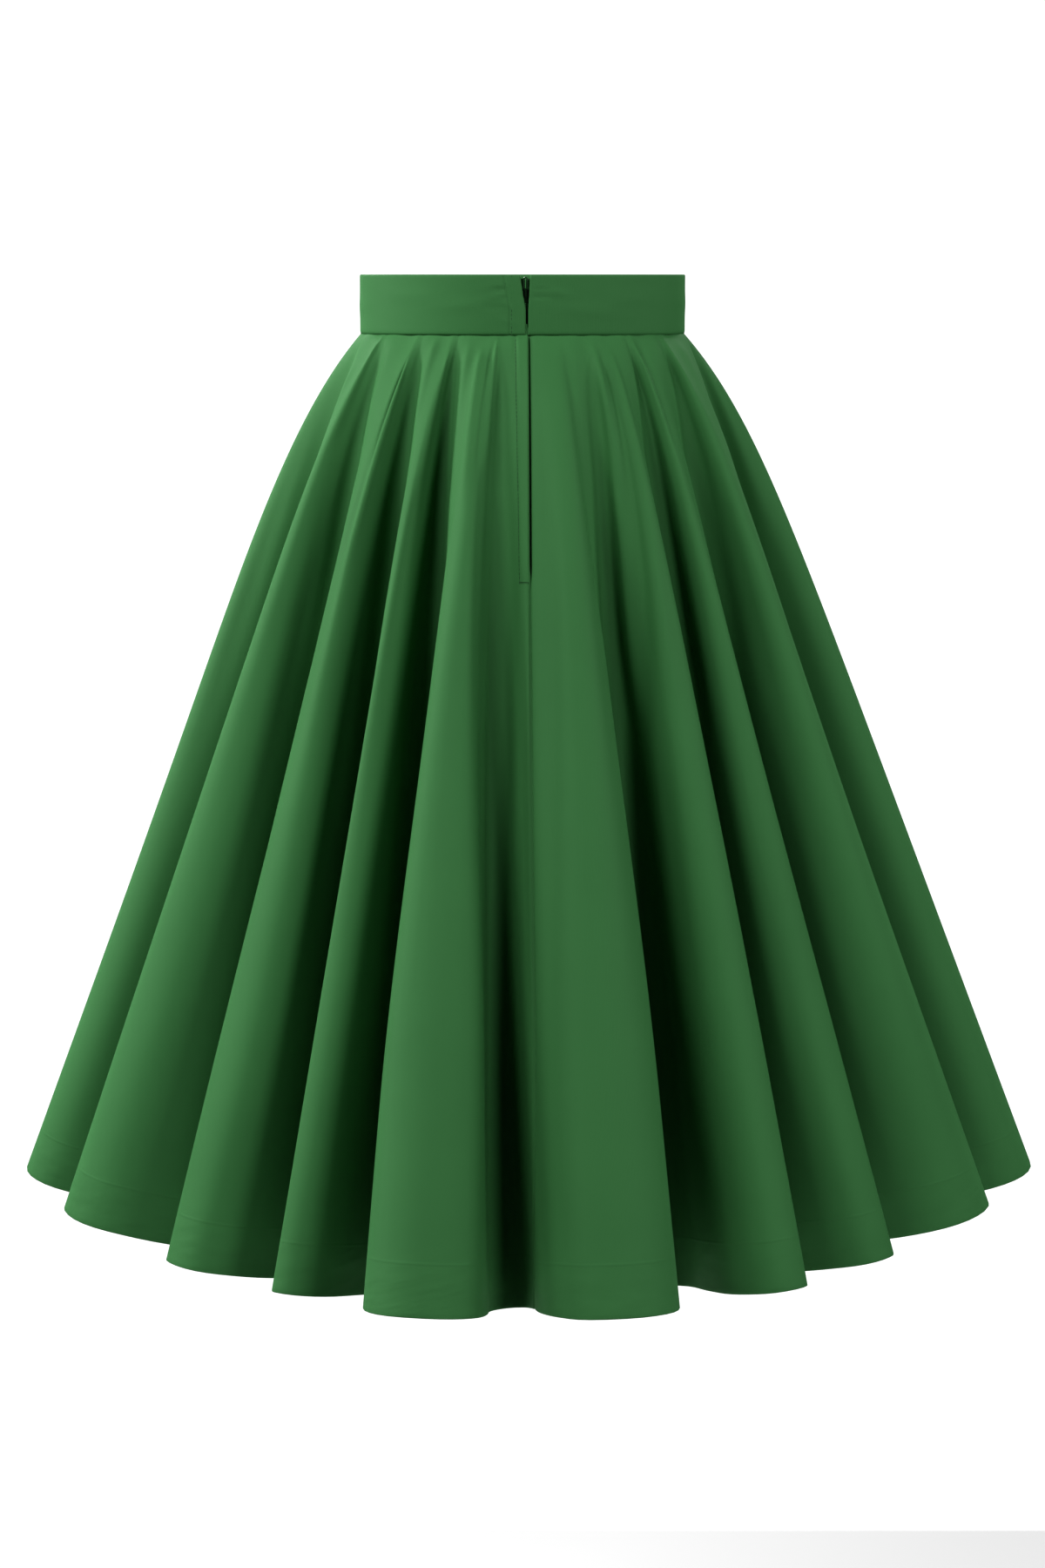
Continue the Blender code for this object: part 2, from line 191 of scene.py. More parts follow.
def anchors(level):
    """Every crest and hollow in order of azimuth, each with its roundness before and after it."""
    found = []
    for f in FLUTES:
        crest = anchor(level, f.crest_top, f.crest_hem, f.reach, 0.0)
        hollow = anchor(level, f.hollow_top, f.hollow_hem, f.reach, f.depth)
        found.append((*crest, f.bulge_in, f.bulge_out))
        found.append((*hollow, f.floor_in, f.floor_out))
    return found


def between(start, end, level, share):
    """Plan points at a share of the way between two anchors, on a cubic curve."""
    gap = (end[0] - start[0] + np.pi) % (2 * np.pi) - np.pi
    radius = (start[1] + end[1]) / 2
    settled = settle(level)
    plain = SMOOTH_ROUNDNESS * gap * (1 - settled)
    half_flute = np.pi / len(FLUTES)
    leaving = radius * (plain + start[3] * half_flute * settled)
    meeting = radius * (plain + end[2] * half_flute * settled)
    x0, y0 = polar(start[0], start[1])
    x3, y3 = polar(end[0], end[1])
    x1 = x0 + np.cos(start[0]) * leaving
    y1 = y0 + np.sin(start[0]) * leaving
    x2 = x3 - np.cos(end[0]) * meeting
    y2 = y3 - np.sin(end[0]) * meeting
    rest = 1 - share
    weights = (rest**3, 3 * rest**2 * share, 3 * rest * share**2, share**3)
    x = sum(w * v for w, v in zip(weights, (x0, x1, x2, x3)))
    y = sum(w * v for w, v in zip(weights, (y0, y1, y2, y3)))
    return x, y


def hang(x, y, level):
    """The height of plan points: hollows run steeper than crests, so they hang lower."""
    crests = waist_radius(np.arctan2(x, -y)) + MEAN_REACH * spread(level)
    return -BAND_HEIGHT - SEAM_GAP - SKIRT_DROP * level - HOLLOW_SAG * (crests - np.hypot(x, y)) * level


test = anchors(np.array([0.0, 1.0]))
print("first crest at the hem: radius", round(float(test[0][1][1]), 4), "m")

# %% [markdown]
# ## A panel as a grid
#
# Each panel is a grid: its rows are level lines, and its columns run down the cloth from the waist
# to the hem, as the warp does. A place on a level line is counted in half flutes from the first
# crest: crests are at even places and hollows at odd ones. Places stay with a flute all the way
# down, so a small fold can later be put on one flute by its place.
#
# The seam down the centre back cuts the half flute between a hollow and a crest. Where it cuts is
# found by halving: 24 halvings are far finer than a thread.

# %% Grid of a panel
BACK_COLUMNS = 18
FRONT_COLUMNS = 10
SEAM_CROWDING = 1.6
ROWS = 172
ROW_CROWDING = 0.045
CLOSING_HALF = 2 * len(BACK_LEFT) - 1
SIDE_HALF = CLOSING_HALF + 2 * len(BACK_RIGHT)
LAST_HALF = 2 * len(FLUTES) - 1
LEFT_HALVES = (-1, CLOSING_HALF)
RIGHT_HALVES = (CLOSING_HALF, SIDE_HALF - 1)
FRONT_HALVES = (SIDE_HALF, LAST_HALF - 1)


def row_levels(rows):
    """Levels from waist to hem, crowded near both."""
    even = np.linspace(0.0, 1.0, rows)
    return even - ROW_CROWDING * np.sin(2 * np.pi * even)


def closing_share(start, end, level):
    """How far along its half flute the seam down the centre back lies, at every level."""
    seam_x = CLOSING_X + (CLOSING_HEM_X - CLOSING_X) * level
    low = np.zeros_like(level)
    high = np.ones_like(level)
    for _ in range(SHARE_STEPS):
        middle = (low + high) / 2
        before = between(start, end, level, middle)[0] < seam_x
        low = np.where(before, middle, low)
        high = np.where(before, high, middle)
    return low


def column_shares(half, first, last, columns):
    """Shares across one half flute. The first and the last halves crowd towards their seams."""
    even = np.arange(columns) / columns
    if half == first:
        return even**SEAM_CROWDING
    if half == last:
        return 1 - (1 - even) ** SEAM_CROWDING
    return even


def panel_grid(first, last, columns, level):
    """A panel's outer face: its points (rows, columns, 3) and their places (rows, columns)."""
    around = anchors(level)
    xs = []
    ys = []
    places = []
    for half in range(first, last + 1):
        start = around[half % len(around)]
        end = around[(half + 1) % len(around)]
        cut = closing_share(start, end, level) if half == CLOSING_HALF else None
        low = cut if half == first == CLOSING_HALF else np.zeros_like(level)
        high = cut if half == last == CLOSING_HALF else np.ones_like(level)
        shares = list(column_shares(half, first, last, columns))
        if half == last:
            shares.append(1.0)
        for share in shares:
            at = low + (high - low) * share
            x, y = between(start, end, level, at)
            xs.append(x)
            ys.append(y)
            places.append(half + at)
    x = np.array(xs).T
    y = np.array(ys).T
    z = hang(x, y, level[:, None])
    return np.stack([x, y, z], axis=-1), np.array(places).T


def unit(vectors):
    """The same directions, each one long."""
    return vectors / np.linalg.norm(vectors, axis=-1, keepdims=True)


def grid_normals(points):
    """The outward normal at every point of a grid."""
    down = np.gradient(points, axis=0)
    across = np.gradient(points, axis=1)
    return unit(np.cross(down, across))


def run_across(points):
    """How far every point is from the first column, along the cloth."""
    steps = np.linalg.norm(np.diff(points, axis=1), axis=-1)
    return np.concatenate([np.zeros((len(points), 1)), np.cumsum(steps, axis=1)], axis=1)


def run_up(points):
    """How far every point is from the last row, along the cloth."""
    steps = np.linalg.norm(np.diff(points, axis=0), axis=-1)[::-1]
    return np.concatenate([np.zeros((1, points.shape[1])), np.cumsum(steps, axis=0)], axis=0)[::-1]


LEVEL = row_levels(ROWS)
smooth_left, left_places = panel_grid(*LEFT_HALVES, BACK_COLUMNS, LEVEL)
smooth_right, right_places = panel_grid(*RIGHT_HALVES, BACK_COLUMNS, LEVEL)
smooth_front, front_places = panel_grid(*FRONT_HALVES, FRONT_COLUMNS, LEVEL)
for name, points in (("left", smooth_left), ("right", smooth_right), ("front", smooth_front)):
    print(name, points.shape[:2], "points, hem", round(float(run_across(points)[-1, -1]), 3), "m")

# %% [markdown]
# ## Small folds
#
# The table above gives the flutes. Cloth that hangs from a band also has smaller folds that start
# at the seam and die out. Each is a row in a second table: where it starts and ends, how broad it
# is, and how high. A fold moves the cloth along its own normal, and fades in and out at its ends.
# A negative height is a crease.

# %% Small folds
Fold = namedtuple("Fold", "place_top place_foot top foot width height")
BACK_FOLDS = (
    Fold(11.46, 11.15, 0.00, 0.48, 0.16, 0.0042),
    Fold(11.78, 11.46, 0.00, 0.45, 0.13, -0.0030),
    Fold(12.15, 11.80, 0.00, 0.40, 0.15, 0.0016),
    Fold(10.45, 10.50, 0.00, 0.34, 0.16, -0.0020),
    Fold(13.20, 13.35, 0.00, 0.45, 0.17, -0.0040),
    Fold(13.75, 13.80, 0.00, 0.34, 0.16, 0.0016),
    Fold(15.28, 15.40, 0.00, 0.42, 0.17, -0.0036),
    Fold(15.70, 15.75, 0.00, 0.30, 0.15, 0.0014),
    Fold(17.10, 17.10, 0.00, 0.36, 0.18, -0.0026),
    Fold(3.10, 2.90, 0.00, 0.34, 0.18, -0.0026),
    Fold(5.10, 5.00, 0.00, 0.34, 0.20, -0.0028),
    Fold(6.95, 6.95, 0.00, 0.34, 0.20, -0.0028),
    Fold(7.38, 7.45, 0.00, 0.26, 0.12, 0.0014),
    Fold(9.02, 9.18, 0.01, 0.55, 0.15, -0.0034),
    Fold(1.00, 1.00, 0.00, 0.30, 0.22, -0.0016),
    Fold(4.15, 3.90, 0.02, 0.27, 0.08, -0.0014),
    Fold(4.33, 4.08, 0.02, 0.27, 0.10, 0.0012),
    Fold(7.80, 7.92, 0.01, 0.20, 0.09, 0.0020),
    Fold(8.55, 8.50, 0.00, 0.16, 0.14, 0.0016),
    Fold(8.22, 8.20, 0.01, 0.18, 0.12, -0.0012),
    Fold(1.45, 1.60, 0.02, 0.30, 0.20, 0.0015),
    Fold(2.40, 2.20, 0.00, 0.14, 0.16, 0.0014),
    Fold(5.50, 5.60, 0.00, 0.12, 0.14, 0.0013),
    Fold(6.35, 6.20, 0.01, 0.20, 0.16, 0.0012),
    Fold(14.20, 13.95, 0.00, 0.14, 0.13, -0.0010),
    Fold(16.40, 16.30, 0.00, 0.18, 0.18, 0.0014),
    Fold(17.45, 17.50, 0.02, 0.26, 0.16, 0.0012),
)
FRONT_FOLDS = (
    Fold(20.40, 20.30, 0.00, 0.16, 0.18, 0.0014),
    Fold(23.20, 23.45, 0.02, 0.34, 0.28, 0.0034),
    Fold(26.45, 26.30, 0.00, 0.14, 0.16, 0.0013),
    Fold(29.10, 29.20, 0.01, 0.40, 0.28, 0.0036),
    Fold(32.50, 32.30, 0.02, 0.22, 0.16, 0.0013),
    Fold(35.15, 35.30, 0.01, 0.36, 0.26, 0.0034),
    Fold(37.50, 37.35, 0.00, 0.15, 0.16, 0.0012),
)
FADE = 0.35


def ramp(value, start, end):
    """A smooth step from 0 at the start to 1 at the end."""
    share = np.clip((value - start) / (end - start), 0.0, 1.0)
    return share * share * (3 - 2 * share)


def fold_heights(places, level, folds):
    """How far the small folds lift every point of a grid."""
    lift = np.zeros_like(places)
    down = level[:, None]
    for f in folds:
        along = np.clip((down - f.top) / (f.foot - f.top), 0.0, 1.0)
        middle = f.place_top + (f.place_foot - f.place_top) * along
        fade = ramp(along, 0.0, FADE / 3) * (1 - ramp(along, 1 - FADE, 1.0))
        lift += f.height * fade * np.exp(-(((places - middle) / f.width) ** 2))
    return lift


print(len(BACK_FOLDS) + len(FRONT_FOLDS), "small folds")

# %% [markdown]
# ## Deep hollows and faint ripples
#
# The hollows of the back are drawn further in than the smooth form takes them, most at the hem, so
# they hold the shade between two flutes. A valley is a row with the hollow's place, its width in
# half flutes and its depth at the hem. Faint ripples that drift slowly across the cloth keep the
# faces of the flutes from looking turned on a lathe. They fade out at the waist and the side seams.

# %% Valleys and ripples
Valley = namedtuple("Valley", "place width depth")
VALLEYS = (
    Valley(1.00, 0.45, 0.036),
    Valley(3.00, 0.45, 0.033),
    Valley(5.00, 0.45, 0.026),
    Valley(7.00, 0.42, 0.016),
    Valley(8.62, 0.28, 0.006),
    Valley(9.70, 0.12, 0.005),
    Valley(11.0, 0.45, 0.022),
    Valley(13.0, 0.45, 0.024),
    Valley(15.0, 0.45, 0.035),
    Valley(17.0, 0.45, 0.032),
)
Ripple = namedtuple("Ripple", "per_half_flute drift height")
RIPPLES = (
    Ripple(1.37, 0.60, 0.0006),
    Ripple(2.23, -0.80, 0.0005),
    Ripple(3.61, 1.10, 0.0003),
)
RIPPLE_START = 0.05
RIPPLE_FULL = 0.35


def valley_heights(places, level):
    """How far the hollows are drawn in beyond the smooth form, more towards the hem."""
    lift = np.zeros_like(places)
    for v in VALLEYS:
        lift -= v.depth * level[:, None] * np.exp(-(((places - v.place) / v.width) ** 2))
    return lift


def ripple_heights(places, level):
    """Faint ripples down the cloth, which fade out at the waist."""
    lift = np.zeros_like(places)
    for r in RIPPLES:
        turns = r.per_half_flute * places + r.drift * level[:, None]
        lift += r.height * np.cos(2 * np.pi * turns)
    for seam in (LEFT_HALVES[0], RIGHT_HALVES[1], FRONT_HALVES[1]):
        lift *= ramp(np.abs(places - seam), 0.0, 1.0)
    return lift * ramp(level, RIPPLE_START, RIPPLE_FULL)[:, None]


def drape_heights(places, level, folds):
    """Folds, valleys and ripples together."""
    folded = fold_heights(places, level, folds)
    return folded + valley_heights(places, level) + ripple_heights(places, level)


print(len(VALLEYS), "valleys and", len(RIPPLES), "ripples")

# %% [markdown]
# ## Seams and the lap
#
# At every seam the cloth dips a little, where the stitching pulls it in. At the zip the left back's
# edge is turned under and laps over the opening, so it stands a little proud, and the right back's
# edge is tucked in behind it. The row of stitching that holds the lap down presses a groove in it.

# %% Seams and the lap
SEAM_DIP = 0.0022
SEAM_DIP_WIDTH = 0.0015
LAP_HEIGHT = 0.0009
LAP_RISE = 0.015
LAP_WIDTH = 0.0110
LAP_SLOPE = 0.0055
LAP_STITCH = 0.0088
LAP_GROOVE = 0.0006
LAP_GROOVE_WIDTH = 0.0011
LAP_FOOT = 0.257
LAP_FADE = 0.012
TUCK = 0.0012
TUCK_WIDTH = 0.0035


def seam_dips(points):
    """How far the stitching pulls in the cloth beside both seams of a panel."""
    from_left = run_across(points)
    from_right = from_left[:, -1:] - from_left
    beside_left = np.exp(-((from_left / SEAM_DIP_WIDTH) ** 2))
    beside_right = np.exp(-((from_right / SEAM_DIP_WIDTH) ** 2))
    return -SEAM_DIP * (beside_left + beside_right)


def lap_window(level):
    """1 beside the zip, and 0 below its foot."""
    return 1 - ramp(level, LAP_FOOT - LAP_FADE, LAP_FOOT + LAP_FADE)[:, None]


def lap_heights(distance, level):
    """The lap of the left back: raised over the zip, with a groove where it is stitched down."""
    raised = 1 - ramp(distance, LAP_WIDTH - LAP_SLOPE, LAP_WIDTH)
    raised *= ramp(level, -LAP_RISE, LAP_RISE)[:, None]
    groove = np.exp(-(((distance - LAP_STITCH) / LAP_GROOVE_WIDTH) ** 2))
    return lap_window(level) * (LAP_HEIGHT * raised - LAP_GROOVE * groove)


def moved(points, heights):
    """A grid of points, each moved outwards by its own height."""
    return points + grid_normals(points) * heights[..., None]


def join_edges(first, second):
    """The last column of one panel and the first of the next, brought to one seam line."""
    middle = (first[:, -1] + second[:, 0]) / 2
    first[:, -1] = middle
    second[:, 0] = middle


left_distance = run_across(smooth_left)[:, -1:] - run_across(smooth_left)
right_distance = run_across(smooth_right)
left_dips = seam_dips(smooth_left)
left_dips[:, -BACK_COLUMNS:] *= 1 - lap_window(LEVEL)
tuck = lap_window(LEVEL) * TUCK * np.exp(-((right_distance / TUCK_WIDTH) ** 2))
left_heights = drape_heights(left_places, LEVEL, BACK_FOLDS) + lap_heights(left_distance, LEVEL)
right_heights = drape_heights(right_places, LEVEL, BACK_FOLDS) - tuck
front_heights = drape_heights(front_places, LEVEL, FRONT_FOLDS)
left_cloth = moved(smooth_left, left_heights + left_dips)
right_cloth = moved(smooth_right, right_heights + seam_dips(smooth_right))
front_cloth = moved(smooth_front, front_heights + seam_dips(smooth_front))
join_edges(right_cloth, front_cloth)
join_edges(front_cloth, left_cloth)
print("the lap stands", LAP_HEIGHT * 1000, "mm proud")

# %% [markdown]
# ## The hem and the seam allowances
#
# The hem is 35 mm of the same cloth, turned up inside and caught with blind stitches. Beside each
# seam 15 mm of cloth is turned back and pressed open. Both are the same job: go round a small turn
# past the grid's edge, then run back along the grid's own points, two layers deep. So one function
# makes both, for rows, and the grid is transposed to make it for columns.

# %% Turned edges
CLOTH = 0.0006
TURN_RADIUS = 0.0008
TURN_STEPS = 5
HEM_WIDTH = 0.035
HEM_ROWS = 8
ALLOWANCE = 0.015
ALLOWANCE_COLUMNS = 6
ALLOWANCE_FOOT = 0.93
# How far each row of the top allowance rises into the band, and how deep it lies, from the top.
TOP_ALLOWANCE = ((0.0085, 0.0012), (0.0040, 0.0012), (0.0009, 0.0010))


def turned_rows(points, normals, width, rows, depth=2 * TURN_RADIUS):
    """The rows that follow a grid's last one: a round turn, then cloth running back inside."""
    edge = points[-1]
    normal = normals[-1]
    onward = unit(edge - points[-2])
    turn = []
    for angle in np.linspace(0, np.pi, TURN_STEPS + 1)[1:]:
        past_edge = onward * TURN_RADIUS * np.sin(angle)
        turn.append(edge + past_edge - normal * (depth / 2) * (1 - np.cos(angle)))
    up = run_up(points)[::-1]
    back = []
    for distance in np.linspace(0, width, rows + 1)[1:]:
        row = np.argmax(up >= distance, axis=0)
        column = np.arange(points.shape[1])
        below = up[row - 1, column]
        share = ((distance - below) / (up[row, column] - below))[:, None]
        lower = points[::-1][row - 1, column]
        upper = points[::-1][row, column]
        inward = normals[::-1][row, column]
        back.append(lower + (upper - lower) * share - inward * depth)
    return np.array(turn + back)


def hemmed(points):
    """A panel's grid with its hem turned up inside."""
    hem = turned_rows(points, grid_normals(points), HEM_WIDTH, HEM_ROWS)
    return np.concatenate([points, hem])


def headed(points):
    """The same grid with its top allowance, which runs up inside the band."""
    turn = np.arctan2(points[0, :, 0], -points[0, :, 1])
    rows = []
    for rise, depth in TOP_ALLOWANCE:
        x, y = polar(turn, waist_radius(turn) - depth)
        rows.append(np.stack([x, y, points[0, :, 2] + rise], axis=-1))
    return np.concatenate([np.array(rows), points])


def allowance(points, side):
    """A strip of cloth turned back inside from the left (-1) or the right (1) edge of a panel."""
    rows = int(np.argmax(LEVEL > ALLOWANCE_FOOT))
    cloth = points[:rows] if side > 0 else points[:rows, ::-1]
    normals = grid_normals(points)[:rows]
    normals = normals if side > 0 else normals[:, ::-1]
    strip = turned_rows(cloth.swapaxes(0, 1), normals.swapaxes(0, 1), ALLOWANCE, ALLOWANCE_COLUMNS)
    strip = strip.swapaxes(0, 1)
    return strip if side > 0 else strip[:, ::-1]


print("the hem adds", HEM_ROWS + TURN_STEPS, "rows")

# %% [markdown]
# ## From grids to pieces
#
# Every point gets a UV in metres: how far it is across the cloth, and how far above the hem. The
# cloth's material uses it for the weave and for the marks that the hem's stitches leave. A Solidify
# modifier gives the sheet the thickness of the cloth, grown inwards, so the outer face stays
# where the form put it.

# %% From grids to pieces


def grid_faces(rows, columns, first):
    """The quads of a grid whose points are numbered row by row from a first number."""
    corner = np.arange(rows * columns).reshape(rows, columns) + first
    quads = np.stack([corner[:-1, :-1], corner[1:, :-1], corner[1:, 1:], corner[:-1, 1:]], axis=-1)
    return quads.reshape(-1, 4)


def cloth_piece(name, grids, wall, material, hem_row=None):
    """One sheet of cloth, from one or more grids of points."""
    points = []
    faces = []
    marks = []
    for grid in grids:
        rows, columns = grid.shape[:2]
        faces.append(grid_faces(rows, columns, sum(len(p) for p in points)))
        up = run_up(grid)
        up = up - (up[hem_row] if hem_row and rows > hem_row else up[-1])
        marks.append(np.stack([run_across(grid), up], axis=-1).reshape(-1, 2))
        points.append(grid.reshape(-1, 3))
    mesh = bpy.data.meshes.new(name)
    mesh.from_pydata(np.concatenate(points).tolist(), [], np.concatenate(faces).tolist())
    mesh.shade_smooth()
    corners = np.empty(len(mesh.loops), dtype=np.int32)
    mesh.loops.foreach_get("vertex_index", corners)
    uv = mesh.uv_layers.new(name="cloth")
    uv.data.foreach_set("uv", np.concatenate(marks)[corners].ravel())
    mesh.materials.append(material)
    made = bpy.data.objects.new(name, mesh)
    bpy.context.scene.collection.objects.link(made)
    solid = made.modifiers.new("cloth", "SOLIDIFY")
    solid.thickness = wall
    solid.offset = -1.0
    return made


def skirt_panel(name, points, node, material):
    """A hemmed panel with its allowances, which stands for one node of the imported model."""
    grids = [headed(hemmed(points)), allowance(points, -1), allowance(points, 1)]
    made = cloth_piece(name, grids, CLOTH, material, hem_row=len(TOP_ALLOWANCE) + len(points) - 1)
    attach(made, "skirt")
    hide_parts(node)
    return made


print("the cloth is", CLOTH * 1000, "mm thick")

# %% [markdown]
# ## The cloth's material
#
# Cotton sateen is close and smooth, with a low sheen that shows where the cloth turns away from
# the eye. Its colour comes from a Principled shader with a little green sheen and a low specular
# level, and it drifts slowly between two greens. The weave is two fine waves at right angles in the
# cloth's own UV, so it runs round the skirt and down it as real threads do, and uneven threads lie
# over it. A faint raised line marks the blind-stitched top of the hem, with small puckers below it.

# %% Cloth material
DEEP_GREEN = (0.0500, 0.1720, 0.0580)
LIGHT_GREEN = (0.0585, 0.1980, 0.0670)
# The zip's tapes and coil get a green far darker than the cloth: painted shade, standing in for the
# shadow inside the slit of the closing.
ZIP_PAINTED_SHADE_GREEN = (0.0140, 0.0600, 0.0190)
THREAD_GREEN = (0.0200, 0.0850, 0.0260)
METAL_GREEN = (0.0120, 0.0400, 0.0160)
SHEEN_GREEN = (0.30, 0.85, 0.36)
CLOTH_ROUGHNESS = 0.68
CLOTH_SPECULAR = 0.12
SHEEN = 0.14
SHEEN_ROUGHNESS = 0.3
TONE_SCALE = 9.0
THREAD_PITCH = 0.00045
WEAVE_HEIGHT = 0.00003
SLUB_SCALE = (900.0, 60.0, 1.0)
SLUB_HEIGHT = 0.00006
HEM_MARK = 0.0016
HEM_MARK_HEIGHT = 0.00012
PUCKER_TOP = 1.6 * HEM_WIDTH
PUCKER_FULL = 0.5 * HEM_WIDTH
PUCKER_SCALE = (26.0, 60.0, 1.0)
PUCKER_TILT = 0.5
PUCKER_HEIGHT = 0.0012
# A Wave texture has this many waves in one unit at a scale of 1.
WAVES_PER_UNIT = 20 / (2 * math.pi)


def new_material(name, color, roughness, specular):
    """A material and its Principled shader."""
    material = bpy.data.materials.new(name)
    material.use_nodes = True
    shader = material.node_tree.nodes["Principled BSDF"]
    shader.inputs["Base Color"].default_value = (*color, 1.0)
    shader.inputs["Roughness"].default_value = roughness
    shader.inputs["Specular IOR Level"].default_value = specular
    return material, shader


def add_node(tree, kind, inputs=None, **settings):
    """A node with its settings made and its inputs filled."""
    node = tree.nodes.new(kind)
    for name, value in settings.items():
        setattr(node, name, value)
    for name, value in (inputs or {}).items():
        node.inputs[name].default_value = value
    return node


def math_node(tree, operation, first, second):
    """A Math node whose two inputs are sockets or numbers."""
    node = tree.nodes.new("ShaderNodeMath")
    node.operation = operation
    for socket, value in zip(node.inputs, (first, second)):
        if isinstance(value, (int, float)):
            socket.default_value = value
        else:
            tree.links.new(value, socket)
    return node.outputs[0]


def bump(tree, height, distance, below=None):
    """A Bump node on a height from 0 to 1, added to the bump below it."""
    node = add_node(tree, "ShaderNodeBump", {"Distance": distance, "Strength": 1.0})
    tree.links.new(height, node.inputs["Height"])
    if below:
        tree.links.new(below, node.inputs["Normal"])
    return node.outputs["Normal"]


def stretched_noise(tree, uv, scale, detail, tilt=0.0):
    """Noise on the cloth's UV, stretched by a scale and turned about the cloth's normal."""
    mapping = add_node(tree, "ShaderNodeMapping", {"Scale": scale, "Rotation": (0, 0, tilt)})
    noise = add_node(tree, "ShaderNodeTexNoise", {"Scale": 1.0, "Detail": detail})
    tree.links.new(uv, mapping.inputs["Vector"])
    tree.links.new(mapping.outputs["Vector"], noise.inputs["Vector"])
    return noise.outputs["Fac"]


def smooth_range(tree, value, full, none):
    """1 where a value is at the full end of a range, and 0 at the other end."""
    sizes = {"From Min": none, "From Max": full, "To Min": 0.0, "To Max": 1.0}
    node = add_node(tree, "ShaderNodeMapRange", sizes, interpolation_type="SMOOTHSTEP")
    tree.links.new(value, node.inputs["Value"])
    return node.outputs["Result"]


def drifting_green(tree):
    """A colour that drifts between the two greens of the cloth."""
    tone = add_node(tree, "ShaderNodeTexNoise", {"Scale": TONE_SCALE, "Detail": 3.0, "Roughness": 0.55})
    place = add_node(tree, "ShaderNodeTexCoord")
    tree.links.new(place.outputs["Object"], tone.inputs["Vector"])
    colour = add_node(tree, "ShaderNodeMix", data_type="RGBA")
    colour.inputs["A"].default_value = (*DEEP_GREEN, 1.0)
    colour.inputs["B"].default_value = (*LIGHT_GREEN, 1.0)
    tree.links.new(tone.outputs["Fac"], colour.inputs["Factor"])
    return colour.outputs["Result"]


def weave_bump(tree, uv):
    """The bump of two sets of threads, with uneven threads over them."""
    threads = []
    for direction in ("X", "Y"):
        scale = 1 / (THREAD_PITCH * WAVES_PER_UNIT)
        wave = add_node(tree, "ShaderNodeTexWave", {"Scale": scale}, bands_direction=direction)
        tree.links.new(uv, wave.inputs["Vector"])
        threads.append(wave.outputs["Fac"])
    normal = bump(tree, math_node(tree, "MULTIPLY", *threads), WEAVE_HEIGHT)
    return bump(tree, stretched_noise(tree, uv, SLUB_SCALE, 2.0), SLUB_HEIGHT, normal)


def hem_bump(tree, uv, normal):
    """The line of the hem's blind stitches, and the puckers below it, added to a bump."""
    up = add_node(tree, "ShaderNodeSeparateXYZ")
    tree.links.new(uv, up.inputs["Vector"])
    above = math_node(tree, "SUBTRACT", up.outputs["Y"], HEM_WIDTH)
    off = math_node(tree, "ABSOLUTE", above, 0.0)
    normal = bump(tree, smooth_range(tree, off, 0.0, HEM_MARK), HEM_MARK_HEIGHT, normal)
    near = smooth_range(tree, up.outputs["Y"], PUCKER_FULL, PUCKER_TOP)
    pucker = stretched_noise(tree, uv, PUCKER_SCALE, 1.5, PUCKER_TILT)
    return bump(tree, math_node(tree, "MULTIPLY", near, pucker), PUCKER_HEIGHT, normal)


def cloth_material(name, hem):
    """Green sateen, with or without the marks of a blind-stitched hem."""
    material, shader = new_material(name, DEEP_GREEN, CLOTH_ROUGHNESS, CLOTH_SPECULAR)
    shader.inputs["Sheen Weight"].default_value = SHEEN
    shader.inputs["Sheen Roughness"].default_value = SHEEN_ROUGHNESS
    shader.inputs["Sheen Tint"].default_value = (*SHEEN_GREEN, 1.0)
    tree = material.node_tree
    uv = add_node(tree, "ShaderNodeUVMap", uv_map="cloth").outputs["UV"]
    tree.links.new(drifting_green(tree), shader.inputs["Base Color"])
    normal = weave_bump(tree, uv)
    if hem:
        normal = hem_bump(tree, uv, normal)
    tree.links.new(normal, shader.inputs["Normal"])
    return material


skirt_cloth = cloth_material("skirt cloth", True)
band_cloth = cloth_material("band cloth", False)
thread, _ = new_material("thread", THREAD_GREEN, 0.55, 0.3)
# The tape's and the coil's colour is painted shade, darker than their own green.
tape_cloth, _ = new_material("zip tape", ZIP_PAINTED_SHADE_GREEN, 0.85, 0.15)
coil, _ = new_material("zip coil", ZIP_PAINTED_SHADE_GREEN, 0.4, 0.4)
metal, shader = new_material("lacquered metal", METAL_GREEN, 0.32, 0.5)
shader.inputs["Metallic"].default_value = 0.6
print("materials:", [m.name for m in (skirt_cloth, band_cloth, thread, tape_cloth, coil, metal)])

# %% [markdown]
# ## The three panels
#
# Each panel is cut as part of a ring, which has an angle in degrees and two radii: the inner one is the
# edge at the waist, and the outer one is the raw edge of the hem. The Cut row below names these, but no
# panel's cut is given here. Together the three take up a fifth more than one full circle, because the
# hollows are deep.

# %% The panels
Cut = namedtuple("Cut", "angle inner outer")

skirt_panel("back_left", left_cloth, "skirt_back_left", skirt_cloth)
skirt_panel("back_right", right_cloth, "skirt_back_right", skirt_cloth)
skirt_panel("front", front_cloth, "skirt_front", skirt_cloth)

# %% [markdown]
# ## The waistband
#
# The band is one strip, folded along its top and faced with interfacing, so it stays flat and
# stands on edge. Its section is a table: up the outer face, over the fold, and down the inner face.
# At both ends the two faces close on each other, because the strip is turned in there. The notch
# between the ends opens upwards, as a lapped closing does when the slider is at the top.
#
# The lap's stitching runs on up through the band, and the pull of the closing leaves short drag
# wrinkles beside it. Each is a row: its middle, how long and how wide it is, its tilt and height.

